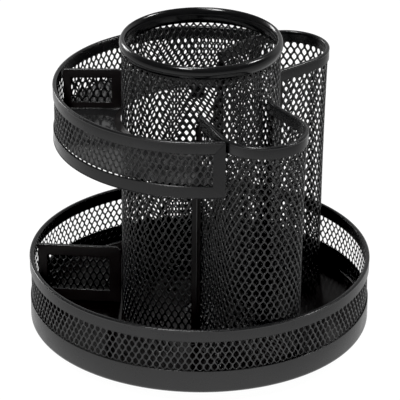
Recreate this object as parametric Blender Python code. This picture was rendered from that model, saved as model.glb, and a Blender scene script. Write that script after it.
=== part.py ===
"""Rotating mesh desk organizer: a lower tray on a ball swivel, a tall middle cup, two lobed cups
(front and back, on the +X side) and a half-round shelf on the -X side. Front is -Y, back is +Y.
Dimensions are in millimetres, the meshes in metres, +Z up. The origin is on the swivel axis, in the
plane the rubber feet rest on."""

import math

import bmesh
import bpy
from mathutils import Matrix, Vector

for old in list(bpy.data.objects):
    bpy.data.objects.remove(old, do_unlink=True)

MM = 0.001

# ---------------------------------------------------------------- driving dimensions, mm
FULL_TURN_SEGMENTS = 60
SHEET = 0.8              # thickness of an expanded-metal sheet
GAP = 0.3                # clearance between neighbouring pieces

PAN_Z = 7.0              # lowest edge of the tray's pan
FLOOR_Z = 9.6            # upper face of the pan's floor
STAND_Z = FLOOR_Z + GAP  # lower edge of what stands on the floor
PAN_R = 99.7             # outside of the pan's solid band
PAN_BAND_TOP = 21.4
PAN_WALL = 0.5           # thickness of that band
TRAY_R = 100.0           # outside of the tray's rim
TRAY_TOP = 47.4
TRAY_RIM_H = 7.4
TRAY_RIM_W = 2.6
TRAY_MESH_R = 98.9       # outside of the tray's mesh

CUP_R = 45.6             # outside of the middle cup's mesh tube
CUP_TOP = 183.6          # top of its rolled rim
CUP_RIM_R = 46.8         # outside of the rolled rim
CUP_RIM_W = 4.3
CUP_RIM_H = 7.8
CUP_RIM_CROWN = 2.6      # height of the rim's rounded top
CUP_SHEET_DROP = 2.4     # from the rim's top to the mesh's upper edge

RIM_TOP = 155.8          # folded rims of the lobed cups and the shelf
RIM_H = 7.2
RIM_W = 2.4
RIM_OUT = 0.8            # how far they stand out from their mesh
RIM_CORNER = 0.9         # bevel along a folded rim's top corners
RIM_ROOF = 1.5           # thickness of a folded rim over its slot
SHEET_DROP = 1.8         # from a folded rim's top to the mesh's upper edge

FRONT_DIR = -62.5        # direction of the front cup, degrees
BACK_DIR = 47.5          # direction of the back cup, degrees
LOBE_S = 73.4            # distance of a lobe's end arc centre from the axis
LOBE_R = 23.6            # outside radius of its mesh at the end arc
LOBE_NECK = 22.0         # half width of a lobe where it meets the tube
LOBE_ARC_STEPS = 16

STRIP_THICK = 0.5        # angle strips between the lobes and the tube
STRIP_WALL_LEG = 4.6
STRIP_TUBE_LEG = 4.2
STRIP_TUBE_STEPS = 3
STRIP_MIN_STEP = 0.004   # least angle from the strip's outer corner to its next point, radians

SHELF_MESH_R = 84.2      # outside of the shelf's mesh
SHELF_R = SHELF_MESH_R + RIM_OUT
SHELF_BOTTOM = 121.5     # lower edge of the folded band under the shelf's mesh
SHELF_BAND_TOP = SHELF_BOTTOM + RIM_H
BAND_LEG_CUT = 0.9       # how much lower the band's inner leg ends
SHELF_MESH_LOW = SHELF_BOTTOM + 2.1
FRONT_GAP = 2.7          # from the shelf's front end to the front cup's wall
BACK_GAP = 2.0           # from its back end to the back cup's wall
MESH_INSET = 0.2         # how much further back the mesh ends
SHELF_STEPS = 40

SHELF_FLOOR_Z = 130.0    # upper face of the shelf's floor
SHELF_FLOOR_THICK = 0.7
SHELF_FLOOR_IN = CUP_R + 0.4
SHELF_FLOOR_OUT = SHELF_MESH_R - SHEET - GAP
COLLAR_H = 3.4           # how far the floor rises where it meets the tube
COLLAR_W = 8.0           # width over which it rises
STRIP_RELIEF = 0.8       # how far its end stations keep further off the tube
TAB_LOW = 125.4          # lower edge of the tab on the floor's inner edge
TAB_FROM, TAB_TO = 85.5, 98.0   # where the tab is, degrees

END_STRIP_W = 6.8
END_STRIP_STEPS = 3

DIVIDER_THICK = 2.0
TRAY_DIVIDER_Y = 1.8     # before it is turned
TRAY_DIVIDER_TURN = 5.0  # degrees, clockwise from above
SHELF_DIVIDER_Y = 19.0

RIVET_R = 30.0           # where the pan rivets stand
RIVET_HOLE_R = 2.1
RACE_R = 38.0            # pitch radius of the balls
BALL_R = 1.6
BALL_Z = 5.6
BALLS = 12
BALL_ARC_STEPS = 5       # from pole to pole
BALL_HOLE_R = 1.9
CAGE_HALF_W = 3.2
CAGE_HALF_H = 0.4
FOOT_R = 50.0            # where the feet stand


# ---------------------------------------------------------------- materials
def material(name, color, roughness, metallic):
    made = bpy.data.materials.new(name)
    made.use_nodes = True
    inputs = made.node_tree.nodes["Principled BSDF"].inputs
    inputs["Base Color"].default_value = (*color, 1.0)
    inputs["Roughness"].default_value = roughness
    inputs["Metallic"].default_value = metallic
    return made


COAT = material("black_powder_coat", color=(0.022, 0.022, 0.024), roughness=0.38, metallic=0.0)
MESH = material("black_expanded_mesh", color=(0.018, 0.018, 0.020), roughness=0.42, metallic=0.0)
STEEL = material("bright_steel", color=(0.62, 0.62, 0.63), roughness=0.18, metallic=1.0)
ZINC = material("zinc_plate", color=(0.50, 0.51, 0.52), roughness=0.35, metallic=1.0)
NYLON = material("white_nylon", color=(0.72, 0.70, 0.65), roughness=0.5, metallic=0.0)
RUBBER = material("black_rubber", color=(0.03, 0.03, 0.03), roughness=0.85, metallic=0.0)


# ---------------------------------------------------------------- bodies
def axis_empty(name):
    empty = bpy.data.objects.new(name, None)
    bpy.context.scene.collection.objects.link(empty)
    return empty


BASE = axis_empty("base_frame")             # stands still
CAROUSEL = axis_empty("carousel_axis")      # turns
CAGE = axis_empty("cage_axis")              # carries the balls


# ---------------------------------------------------------------- helpers
def on_circle(radius, angle):
    return radius * math.cos(angle), radius * math.sin(angle)


def circle(radius, z, segments, center=(0, 0), phase=0.0):
    """Points round a circle; phase is in segments."""
    points = []
    for i in range(segments):
        x, y = on_circle(radius, 2 * math.pi * (i + phase) / segments)
        points.append((center[0] + x, center[1] + y, z))
    return points


def spaced(radius, count, first=0.0):
    """Evenly spaced (x, y) places on a circle, from the direction first, degrees."""
    return [on_circle(radius, math.radians(first + 360 * i / count)) for i in range(count)]


def polar_degrees(point):
    return math.degrees(math.atan2(point.y, point.x)) % 360


def add_verts(body, points):
    return [body.verts.new(Vector(point) * MM) for point in points]


def skin(body, stations, closed):
    """Skins a row of cross sections (lists of points, mm); open rows get end caps."""
    rows = [add_verts(body, station) for station in stations]
    following = rows[1:] + rows[:1] if closed else rows[1:]
    for row, after in zip(rows, following):
        for j in range(len(row)):
            k = (j + 1) % len(row)
            body.faces.new((row[j], row[k], after[k], after[j]))
    if not closed:
        body.faces.new(rows[0])
        body.faces.new(list(reversed(rows[-1])))


def finish(name, body, mat, parent, smooth=True):
    bmesh.ops.remove_doubles(body, verts=body.verts, dist=1e-7)
    bmesh.ops.recalc_face_normals(body, faces=body.faces)
    mesh = bpy.data.meshes.new(name)
    body.to_mesh(mesh)
    body.free()
    mesh.materials.append(mat)
    piece = bpy.data.objects.new(name, mesh)
    bpy.context.scene.collection.objects.link(piece)
    if smooth:
        mesh.shade_smooth()
        mesh.set_sharp_from_angle(angle=math.radians(35))
    piece.parent = parent
    return piece


def sweep(name, stations, mat, parent=CAROUSEL, closed=False, smooth=True):
    body = bmesh.new()
    skin(body, stations, closed)
    return finish(name, body, mat, parent, smooth)


def revolve(name, profile, mat, parent=CAROUSEL, segments=FULL_TURN_SEGMENTS):
    """Full turn of a closed (radius, z) profile that stays off the axis."""
    stations = []
    for i in range(segments):
        angle = 2 * math.pi * i / segments
        stations.append([(*on_circle(radius, angle), z) for radius, z in profile])
    return sweep(name, stations, mat, parent, closed=True)


def turned(name, profile, mat, parent, center, segments):
    """Turned solid: an open (radius, z) profile from axis to axis, radius 0 at both ends."""
    body = bmesh.new()
    rows = [add_verts(body, circle(radius, z, segments, center)) for radius, z in profile[1:-1]]
    low, high = add_verts(body, [(*center, profile[0][1]), (*center, profile[-1][1])])
    for i in range(segments):
        k = (i + 1) % segments
        body.faces.new((low, rows[0][k], rows[0][i]))
        body.faces.new((high, rows[-1][i], rows[-1][k]))
        for row, above in zip(rows, rows[1:]):
            body.faces.new((row[i], row[k], above[k], above[i]))
    return finish(name, body, mat, parent)


def cut_holes(plate, centers, radius, bottom, top, segments):
    """Cuts round holes through a plate with one cutter object that holds every drill."""
    body = bmesh.new()
    for center in centers:
        # The phase keeps the drill's edges off the plate's own edges.
        skin(body, [circle(radius, z, segments, center, phase=0.37) for z in (bottom, top)], False)
    cutter = finish(plate.name + "_drill", body, COAT, parent=None, smooth=False)
    cutter.hide_render = True
    cutter.display_type = "WIRE"
    holes = plate.modifiers.new("holes", "BOOLEAN")
    holes.operation = "DIFFERENCE"
    holes.solver = "EXACT"
    holes.object = cutter


def sheet_profile(outer, low, high):
    inner = outer - SHEET
    return [(outer, low), (outer, high), (inner, high), (inner, low)]


def folded_rim(outer, width, top, height, sheet_out):
    """Upside-down U with bevelled top corners, astride a sheet whose outer face is at sheet_out."""
    low = top - height
    inner = outer - width
    slot_in = sheet_out - SHEET - GAP
    slot_out = sheet_out + GAP
    return [
        (outer, low), (outer, top - RIM_CORNER), (outer - RIM_CORNER, top),
        (inner + RIM_CORNER, top), (inner, top - RIM_CORNER), (inner, low),
        (slot_in, low), (slot_in, top - RIM_ROOF), (slot_out, top - RIM_ROOF), (slot_out, low)]


# ---------------------------------------------------------------- lower tray
rivet_places = spaced(RIVET_R, 4, first=35)

# (radius, z): under the floor, round the foot bead, up the band and back inside
pan = revolve("tray_pan", [
    (8.2, FLOOR_Z - 0.8), (92.5, FLOOR_Z - 0.8), (94.3, FLOOR_Z - 1.4),
    (95.4, PAN_Z + 0.2), (96.3, PAN_Z), (98.1, PAN_Z + 0.7), (99.2, PAN_Z + 2.1),
    (PAN_R, PAN_Z + 4.0), (PAN_R, PAN_BAND_TOP),
    (PAN_R - PAN_WALL, PAN_BAND_TOP), (PAN_R - PAN_WALL, PAN_Z + 4.4),
    (98.4, FLOOR_Z + 0.4), (97.0, FLOOR_Z), (8.2, FLOOR_Z)], COAT)
cut_holes(pan, rivet_places, RIVET_HOLE_R, bottom=8.0, top=11.0, segments=12)

revolve("tray_mesh", sheet_profile(TRAY_MESH_R, PAN_Z + 5.0, TRAY_TOP - SHEET_DROP), MESH)
revolve("tray_rim", folded_rim(TRAY_R, TRAY_RIM_W, TRAY_TOP, TRAY_RIM_H, TRAY_MESH_R), COAT)


# ---------------------------------------------------------------- middle cup
def rolled_rim():
    """Thick ring: rounded over the top, open below where the sheet enters."""
    outer, inner = CUP_RIM_R, CUP_RIM_R - CUP_RIM_W
    slot_out, slot_in = CUP_R + GAP, CUP_R - SHEET - GAP
    low, slot_top, shoulder = CUP_TOP - CUP_RIM_H, CUP_TOP - 2.0, CUP_TOP - CUP_RIM_CROWN
    crown = []
    for i in range(1, 4):
        x, z = on_circle(1.0, math.pi * i / 4)
        crown.append(((outer + inner) / 2 + CUP_RIM_W / 2 * x, shoulder + CUP_RIM_CROWN * z))
    return [
        (outer - 0.35, low), (outer, low + 1.2), (outer, shoulder), *crown,
        (inner, shoulder), (inner, low + 1.2), (inner + 0.35, low),
        (slot_in, low), (slot_in, slot_top), (slot_out, slot_top), (slot_out, low)]


revolve("center_cup_mesh", sheet_profile(CUP_R, STAND_Z, CUP_TOP - CUP_SHEET_DROP), MESH)
revolve("center_cup_rim", rolled_rim(), COAT)

# ---------------------------------------------------------------- lobed cups
# Angle by which each side of a lobe closes towards the tube
neck_length = LOBE_S - math.sqrt(CUP_R ** 2 - LOBE_NECK ** 2)
LOBE_TAPER = (math.asin(LOBE_R / math.hypot(LOBE_NECK, neck_length))
              - math.atan2(LOBE_NECK, neck_length))


def lobe_path(direction, offset, tube_radius):
    """Plan line of a lobe's wall, offset outwards from the mesh's outer face: out along the
    clockwise side, round the end arc and back; both ends are on a circle of tube_radius."""
    radius = LOBE_R + offset
    center = Vector((LOBE_S, 0))
    ends = []
    for side in (-1, 1):
        normal = Vector((-math.sin(LOBE_TAPER), side * math.cos(LOBE_TAPER)))
        inwards = Vector((-math.cos(LOBE_TAPER), -side * math.sin(LOBE_TAPER)))
        start = center + normal * radius
        # Walk inwards along the tangent to the circle of tube_radius.
        half_b = start.dot(inwards)
        excess = start.dot(start) - tube_radius ** 2
        ends.append(start + inwards * (-half_b - math.sqrt(half_b ** 2 - excess)))
    half_turn = math.pi / 2 + LOBE_TAPER
    arc = [center + Vector(on_circle(radius, half_turn * (2 * i / LOBE_ARC_STEPS - 1)))
           for i in range(LOBE_ARC_STEPS + 1)]
    along = Vector(on_circle(1.0, math.radians(direction)))
    across = Vector((-along.y, along.x))
    return [along * p.x + across * p.y for p in (ends[0], *arc, ends[1])]


def lobe_sweep(name, direction, profile, mat):
    """Sweeps a closed (offset, z) profile along the lobe's wall."""
    paths = [lobe_path(direction, offset, CUP_R + GAP) for offset, _ in profile]
    stations = [[(point.x, point.y, z) for point, (_, z) in zip(points, profile)]
                for points in zip(*paths)]
    sweep(name, stations, mat)


def lobe_strip(name, direction, side):
    """Angle strip up the corner between a lobe's wall and the tube: one leg on each.
    side is -1 for the lobe's clockwise wall and 1 for the other."""
    offsets = (GAP, GAP + STRIP_THICK)
    # Both paths are taken to start at this strip's corner.
    near, far = [lobe_path(direction, offset, CUP_R + offset)[::-side] for offset in offsets]

    def leg_end(path):
        return path[0] + (path[1] - path[0]).normalized() * STRIP_WALL_LEG

    near_angle, far_angle = [math.atan2(path[0].y, path[0].x) for path in (near, far)]
    angles = [near_angle + side * STRIP_TUBE_LEG / CUP_R * i / STRIP_TUBE_STEPS
              for i in range(1, STRIP_TUBE_STEPS + 1)]
    near_arc = [on_circle(CUP_R + offsets[0], angle) for angle in angles]
    # The outer face starts further round, so points before its corner are left out.
    first = abs(far_angle - near_angle) + STRIP_MIN_STEP
    far_arc = [on_circle(CUP_R + offsets[1], angle) for angle in reversed(angles)
               if abs(angle - near_angle) >= first]
    outline = [leg_end(near), near[0], *near_arc, *far_arc, far[0], leg_end(far)]
    stations = [[(x, y, z) for x, y in outline] for z in (STAND_Z, RIM_TOP - RIM_H - GAP)]
    sweep(name, stations, COAT, smooth=False)


for prefix, direction in (("front_cup", FRONT_DIR), ("back_cup", BACK_DIR)):
    lobe_sweep(prefix + "_mesh", direction,
               sheet_profile(0.0, STAND_Z, RIM_TOP - SHEET_DROP), MESH)
    lobe_sweep(prefix + "_rim", direction, folded_rim(RIM_OUT, RIM_W, RIM_TOP, RIM_H, 0.0), COAT)
    lobe_strip(prefix + "_strip_a", direction, -1)
    lobe_strip(prefix + "_strip_b", direction, 1)


# ---------------------------------------------------------------- shelf
def lobe_side_angle(direction, side, offset, radius):
    """Angle at which a circle about the axis meets a lobe's side wall offset outwards."""
    distance = LOBE_R + offset - LOBE_S * math.sin(LOBE_TAPER)   # from the axis to the wall line
    normal = math.radians(direction) + side * (math.pi / 2 + LOBE_TAPER)
    return normal - side * math.acos(distance / radius)


def shelf_angles(radius, inset=0.0):
    """Angles of the shelf's back and front ends at a radius."""
    back = lobe_side_angle(BACK_DIR, 1, BACK_GAP + inset, radius)
    front = lobe_side_angle(FRONT_DIR, -1, FRONT_GAP + inset, radius) + 2 * math.pi
    return back, front


def shelf_station(profile, part, inset=0.0):
    """(radius, z) profile placed part of the way round, from the back end to the front end."""
    station = []
    for radius, z in profile:
        back, front = shelf_angles(radius, inset)
        station.append((*on_circle(radius, back + (front - back) * part), z))
    return station


def shelf_sweep(name, profile, mat, inset=0.0):
    stations = [shelf_station(profile, i / SHELF_STEPS, inset) for i in range(SHELF_STEPS + 1)]
    sweep(name, stations, mat)


def shelf_floor():
    """Plate that rises in a flared collar round the tube, with a tab bent down along the tube."""
    def top_z(radius):
        rise = max(0.0, 1.0 - (radius - SHELF_FLOOR_IN) / COLLAR_W)
        return SHELF_FLOOR_Z + COLLAR_H * rise * rise

    radii = [SHELF_FLOOR_IN + out for out in (0.0, 0.6, 2.0, 4.0, 6.0, COLLAR_W)]
    radii.append(SHELF_FLOOR_OUT)
    stations = []
    for i in range(SHELF_STEPS + 1):
        # The two stations at each end stay clear of the angle strips.
        at_end = i < 2 or i > SHELF_STEPS - 2
        inner = SHELF_FLOOR_IN + (STRIP_RELIEF if at_end else 0.0)
        upper = [(max(radius, inner + 0.1 * k), top_z(radius)) for k, radius in enumerate(radii)]
        lower = [(radius, z - SHELF_FLOOR_THICK) for radius, z in upper]
        stations.append(shelf_station(lower + upper[::-1], i / SHELF_STEPS))
    body = bmesh.new()
    skin(body, stations, False)

    # The tab is pulled down from the innermost faces of the underside.
    tab_r = (SHELF_FLOOR_IN + 0.7) * MM
    tab_z = (top_z(SHELF_FLOOR_IN) - SHELF_FLOOR_THICK + 0.01) * MM
    tab = [face for face in body.faces
           if all(math.hypot(v.co.x, v.co.y) < tab_r and v.co.z < tab_z for v in face.verts)
           and TAB_FROM < polar_degrees(face.calc_center_median()) < TAB_TO]
    extruded = bmesh.ops.extrude_face_region(body, geom=tab)["geom"]
    for element in extruded:
        if isinstance(element, bmesh.types.BMVert):
            element.co.z = TAB_LOW * MM
    # Faces left inside the solid go.
    leftover = [face for face in tab if face.is_valid]
    bmesh.ops.delete(body, geom=leftover, context="FACES_ONLY")
    finish("shelf_floor", body, COAT, CAROUSEL)


def shelf_band():
    """Folded rim turned upside down, its inner leg ending lower than the outer one."""
    upturned = folded_rim(SHELF_R, RIM_W, -SHELF_BOTTOM, RIM_H, SHELF_MESH_R)
    profile = []
    for radius, z in upturned:
        inner_leg_end = radius < SHELF_MESH_R - SHEET and -z > SHELF_BAND_TOP - 0.1
        profile.append((radius, SHELF_BAND_TOP - BAND_LEG_CUT if inner_leg_end else -z))
    shelf_sweep("shelf_band", profile, COAT)


def end_strip(name, at_front):
    """Upright strip at one end of the shelf's wall, outside the mesh."""
    low, high = SHELF_BAND_TOP + GAP, RIM_TOP - RIM_H - GAP
    inner, outer = SHELF_MESH_R + GAP, SHELF_R
    stations = []
    for i in range(END_STRIP_STEPS + 1):
        station = []
        for radius, z in ((inner, low), (outer, low), (outer, high), (inner, high)):
            back, front = shelf_angles(radius)
            turn = END_STRIP_W / radius * i / END_STRIP_STEPS
            station.append((*on_circle(radius, front - turn if at_front else back + turn), z))
        stations.append(station)
    sweep(name, stations, COAT)


shelf_floor()
shelf_band()
shelf_sweep("shelf_mesh", sheet_profile(SHELF_MESH_R, SHELF_MESH_LOW, RIM_TOP - SHEET_DROP),
            MESH, MESH_INSET)
shelf_sweep("shelf_rim", folded_rim(SHELF_R, RIM_W, RIM_TOP, RIM_H, SHELF_MESH_R), COAT)
end_strip("shelf_end_strip_front", at_front=True)
end_strip("shelf_end_strip_back", at_front=False)


# ---------------------------------------------------------------- dividers
def divider(prefix, x_out, x_in, low, high, y, corner_cut, low_band, side_band, top_band,
            turn=0.0):
    """Framed panel in the XZ plane at y, from the outer end x_out to the inner end x_in,
    then turned clockwise about the axis by turn degrees."""
    hole_out, hole_in = x_out + side_band, x_in - side_band
    hole_low, hole_high = low + low_band, high - top_band
    # (x, z) outlines, corner for corner
    outer = [
        (x_out + corner_cut, low), (x_in, low), (x_in, high - 2.2),
        (x_in - 2.6, high), (x_out, high), (x_out, low + corner_cut + 0.6)]
    inner = [
        (hole_out, hole_low), (hole_in, hole_low), (hole_in, hole_high - 0.6),
        (hole_in - 0.6, hole_high), (hole_out, hole_high), (hole_out, hole_low + 1.0)]
    panel_out, panel_in = hole_out + GAP, hole_in - GAP - 0.6
    panel_low, panel_high = hole_low + GAP, hole_high - GAP
    panel_outline = [
        (panel_out, panel_low), (panel_in, panel_low),
        (panel_in, panel_high), (panel_out, panel_high)]

    def at_depth(outline, depth):
        return [(x, y + depth, z) for x, z in outline]

    half = DIVIDER_THICK / 2
    frame = sweep(prefix + "_frame", [
        at_depth(outer, -half), at_depth(outer, half),
        at_depth(inner, half), at_depth(inner, -half)], COAT, closed=True, smooth=False)
    panel = sweep(prefix + "_mesh", [
        at_depth(panel_outline, -SHEET / 2), at_depth(panel_outline, SHEET / 2)],
        MESH, smooth=False)
    for piece in (frame, panel):
        piece.data.transform(Matrix.Rotation(math.radians(-turn), 4, "Z"))


divider("tray_divider", x_out=-96.2, x_in=-47.9, low=STAND_Z, high=TRAY_TOP - 0.9,
        y=TRAY_DIVIDER_Y, corner_cut=3.0, low_band=7.8, side_band=5.7, top_band=7.0,
        turn=TRAY_DIVIDER_TURN)

# The shelf divider's outer corners stay 0.4 inside the shelf's rim.
shelf_reach = math.sqrt((SHELF_R - RIM_W - 0.4) ** 2 - (SHELF_DIVIDER_Y + DIVIDER_THICK / 2) ** 2)
divider("shelf_divider", x_out=-shelf_reach, x_in=-44.5, low=SHELF_FLOOR_Z + 2.2,
        high=RIM_TOP - 0.7, y=SHELF_DIVIDER_Y, corner_cut=0.0, low_band=2.8, side_band=5.2,
        top_band=5.4)

# ---------------------------------------------------------------- swivel, turning side
# Profiles here and below are (radius, z).
top_plate = revolve("swivel_top_plate", [
    (3.6, 7.6), (34.6, 7.6), (35.4, 7.4), (40.6, 7.4), (41.4, 7.6), (50.0, 7.6),
    (50.6, 6.4), (51.4, 6.4), (51.2, 7.9), (50.6, 8.5), (3.6, 8.5)], ZINC, segments=40)
cut_holes(top_plate, rivet_places, RIVET_HOLE_R, bottom=7.0, top=9.0, segments=12)

for i, place in enumerate(rivet_places, 1):
    turned(f"pan_rivet_{i}", [
        (0, 6.3), (2.6, 6.3), (3.2, 6.8), (3.2, 7.3), (1.8, 7.3),
        (1.8, FLOOR_Z + 0.3), (3.4, FLOOR_Z + 0.3), (3.0, FLOOR_Z + 0.9),
        (1.8, FLOOR_Z + 1.3), (0, FLOOR_Z + 1.3)], ZINC, CAROUSEL, place, segments=12)

revolve("pivot_washer", [(3.4, 8.8), (7.2, 8.8), (7.2, 9.4), (3.4, 9.4)], ZINC, segments=24)

# ---------------------------------------------------------------- swivel, standing side
revolve("swivel_base_plate", [
    (3.3, 2.3), (57.0, 2.3), (58.2, 3.0), (58.6, 5.2), (58.0, 5.2), (57.4, 3.5), (56.6, 3.1),
    (41.4, 3.1), (40.6, 3.8), (35.4, 3.8), (34.6, 3.1), (3.3, 3.1)], ZINC, BASE, segments=40)

turned("pivot_rivet", [
    (0, 1.0), (5.0, 1.0), (5.6, 1.4), (5.6, 2.0), (3.0, 2.0),
    (3.0, 9.7), (5.6, 9.7), (5.0, 10.5), (3.0, 11.1), (0, 11.1)],
    ZINC, BASE, (0, 0), segments=20)

for i, place in enumerate(spaced(FOOT_R, 4, first=45), 1):
    turned(f"foot_{i}", [(0, 0.0), (4.6, 0.0), (5.2, 0.5), (5.2, 1.6), (4.8, 2.0), (0, 2.0)],
           RUBBER, BASE, place, segments=12)

# ---------------------------------------------------------------- cage and balls
cage_in, cage_out = RACE_R - CAGE_HALF_W, RACE_R + CAGE_HALF_W
cage_low, cage_high = BALL_Z - CAGE_HALF_H, BALL_Z + CAGE_HALF_H
cage_ring = revolve("ball_cage", [
    (cage_in, cage_low), (cage_out, cage_low), (cage_out, cage_high), (cage_in, cage_high)],
    NYLON, CAGE, segments=48)
ball_places = spaced(RACE_R, BALLS)
cut_holes(cage_ring, ball_places, BALL_HOLE_R, bottom=4.5, top=7.0, segments=10)

ball_profile = [(0, BALL_Z - BALL_R)]
for i in range(1, BALL_ARC_STEPS):
    x, z = on_circle(BALL_R, math.pi * (i / BALL_ARC_STEPS - 0.5))
    ball_profile.append((x, BALL_Z + z))
ball_profile.append((0, BALL_Z + BALL_R))
for i, place in enumerate(ball_places, 1):
    turned(f"ball_{i:02d}", ball_profile, STEEL, CAGE, place, segments=10)
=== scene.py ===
"""Rotating desk organizer in black expanded metal.

Z is the swivel axis and the table is at z = 0; -Y is the front, +X the right. A round tray carries
a tall round cup in the middle, two lobed cups (front right and back right) and a raised shelf that
runs round the left side. Under the tray are a ball bearing and a base with four feet.
Sizes are in mm, angles in degrees; make() scales to metres. Stage, lights and camera are in metres.
"""
import math

import bmesh
import bpy
import numpy as np
from mathutils import Matrix, Vector


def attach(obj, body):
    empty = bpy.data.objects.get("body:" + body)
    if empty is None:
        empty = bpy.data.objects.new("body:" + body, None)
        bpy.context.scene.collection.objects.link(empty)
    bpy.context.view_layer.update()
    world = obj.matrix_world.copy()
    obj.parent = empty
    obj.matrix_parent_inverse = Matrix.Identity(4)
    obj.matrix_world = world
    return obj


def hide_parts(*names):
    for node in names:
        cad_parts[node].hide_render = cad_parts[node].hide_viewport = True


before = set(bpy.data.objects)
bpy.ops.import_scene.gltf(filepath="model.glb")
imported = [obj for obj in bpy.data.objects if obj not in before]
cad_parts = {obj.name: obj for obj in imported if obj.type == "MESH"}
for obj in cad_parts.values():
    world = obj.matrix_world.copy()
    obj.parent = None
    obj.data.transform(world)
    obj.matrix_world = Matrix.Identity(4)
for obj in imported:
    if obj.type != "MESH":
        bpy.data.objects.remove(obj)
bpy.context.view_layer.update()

MM = 0.001
rng = np.random.default_rng(7)

# ---------------------------------------------------------------- driving dimensions
SHEET = 0.8
FLOOR_Z = 9.6                    # top of the tray's floor
PAN_Z, PAN_R, PAN_BAND_TOP, PAN_HOLE_R = 7.0, 99.7, 21.4, 8.2
TRAY_R, TRAY_TOP, TRAY_RIM_H, TRAY_MESH_R = 100.0, 47.4, 7.4, 98.8
TRAY_RIM_IN_R = 97.4

CUP_R, CUP_TOP = 45.6, 183.6     # middle cup
ROLL_R, ROLL_W, ROLL_H = 46.8, 4.3, 7.8
SEAT_GAP = 0.3                   # clearance of the neighbours round the middle cup
SEAT_R = CUP_R + SEAT_GAP

RIM_TOP, RIM_H, RIM_W = 155.8, 7.2, 2.4   # folded rims of lobed cups and shelf
FRONT_DIR, BACK_DIR = -62.5, 47.5         # headings of the lobed cups
LOBE_CENTER, LOBE_R = 73.4, 23.6          # end arc: distance from the axis, radius
LOBE_NECK = 22.0                          # half width where a lobe meets the middle cup

SHELF_R, SHELF_MESH_R = 85.0, 84.2
SHELF_FLOOR_Z, SHELF_BOTTOM, SHELF_BAND_TOP = 130.0, 121.5, 128.7
FRONT_GAP, BACK_GAP = 2.7, 2.0            # from the shelf's ends to the lobed cups
TAB_LOW, TAB_FROM, TAB_TO = 125.4, 87.3, 97.3   # tab on the shelf floor: bottom, start, end

CELL_PITCH, CELL_ROW = 4.12, 3.68         # nominal cell of the expanded metal
TRAY_ROW = 3.57
WALL_FOOT = 3.5                           # from the tray floor to a cup's first row


# ---------------------------------------------------------------- shader helpers
def fill(nt, target, *sources, **inputs):
    """Set or link a node's inputs, by position or by name with _ for a space."""
    for key, value in [*enumerate(sources), *inputs.items()]:
        socket = target.inputs[key if isinstance(key, int) else key.replace("_", " ")]
        if isinstance(value, bpy.types.NodeSocket):
            nt.links.new(value, socket)
        else:
            socket.default_value = value
    return target


def node(nt, kind, *sources, **inputs):
    return fill(nt, nt.nodes.new(kind), *sources, **inputs)


def map_range(nt, value, span, to, smooth=False):
    made = node(nt, "ShaderNodeMapRange", value, From_Min=span[0], From_Max=span[1],
                To_Min=to[0], To_Max=to[1])
    if smooth:
        made.interpolation_type = "SMOOTHSTEP"
    return made.outputs["Result"]


def combine(nt, operation, first, second):
    made = node(nt, "ShaderNodeMath", first, second)
    made.operation = operation
    return made.outputs[0]


def mix_shaders(nt, factor, first, second):
    return node(nt, "ShaderNodeMixShader", factor, first, second).outputs[0]


# ---------------------------------------------------------------- materials
def coat(name, tones, rough, peel, peel_scale=1500.0, metal=0.0, ior=1.5, speckle=0.0):
    """Finish with a cloudy tone, fine bumps and a gloss that wanders over the surface.

    tones: darkest and lightest colour; rough: lowest and highest roughness;
    peel, peel_scale: strength and fineness of the bumps; speckle: amount of pale grain."""
    material = bpy.data.materials.new(name)
    material.use_nodes = True
    nt = material.node_tree
    place = nt.nodes.new("ShaderNodeTexCoord").outputs["Object"]

    def noise(scale, detail, roughness):
        return node(nt, "ShaderNodeTexNoise", Vector=place, Scale=scale, Detail=detail,
                    Roughness=roughness).outputs["Fac"]

    ramp = node(nt, "ShaderNodeValToRGB", Fac=noise(scale=38.0, detail=4.0, roughness=0.55))
    for element, position, tone in zip(ramp.color_ramp.elements, (0.32, 0.70), tones):
        element.position = position
        element.color = (*tone, 1)
    color = ramp.outputs["Color"]
    if speckle > 0:
        grain = noise(scale=2600.0, detail=2.0, roughness=0.6)
        amount = map_range(nt, grain, span=(0.62, 0.80), to=(0.0, speckle))
        mix = node(nt, "ShaderNodeMixRGB", Fac=amount, Color1=color,
                   Color2=(0.05, 0.05, 0.052, 1))
        mix.blend_type = "ADD"
        color = mix.outputs["Color"]
    gloss = map_range(nt, noise(scale=120.0, detail=3.0, roughness=0.6),
                      span=(0.3, 0.7), to=rough)
    bump = node(nt, "ShaderNodeBump", Strength=peel, Distance=0.0004,
                Height=noise(scale=peel_scale, detail=2.0, roughness=0.5))
    fill(nt, nt.nodes["Principled BSDF"], Base_Color=color, Roughness=gloss,
         Normal=bump.outputs["Normal"], Metallic=metal, IOR=ior)
    return material


# darkest and lightest colour of the finishes that share them
BLACK_TONES = (0.0075, 0.0075, 0.0080), (0.0115, 0.0115, 0.0120)
MESH_TONES = (0.0042, 0.0042, 0.0046), (0.0072, 0.0072, 0.0077)

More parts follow.
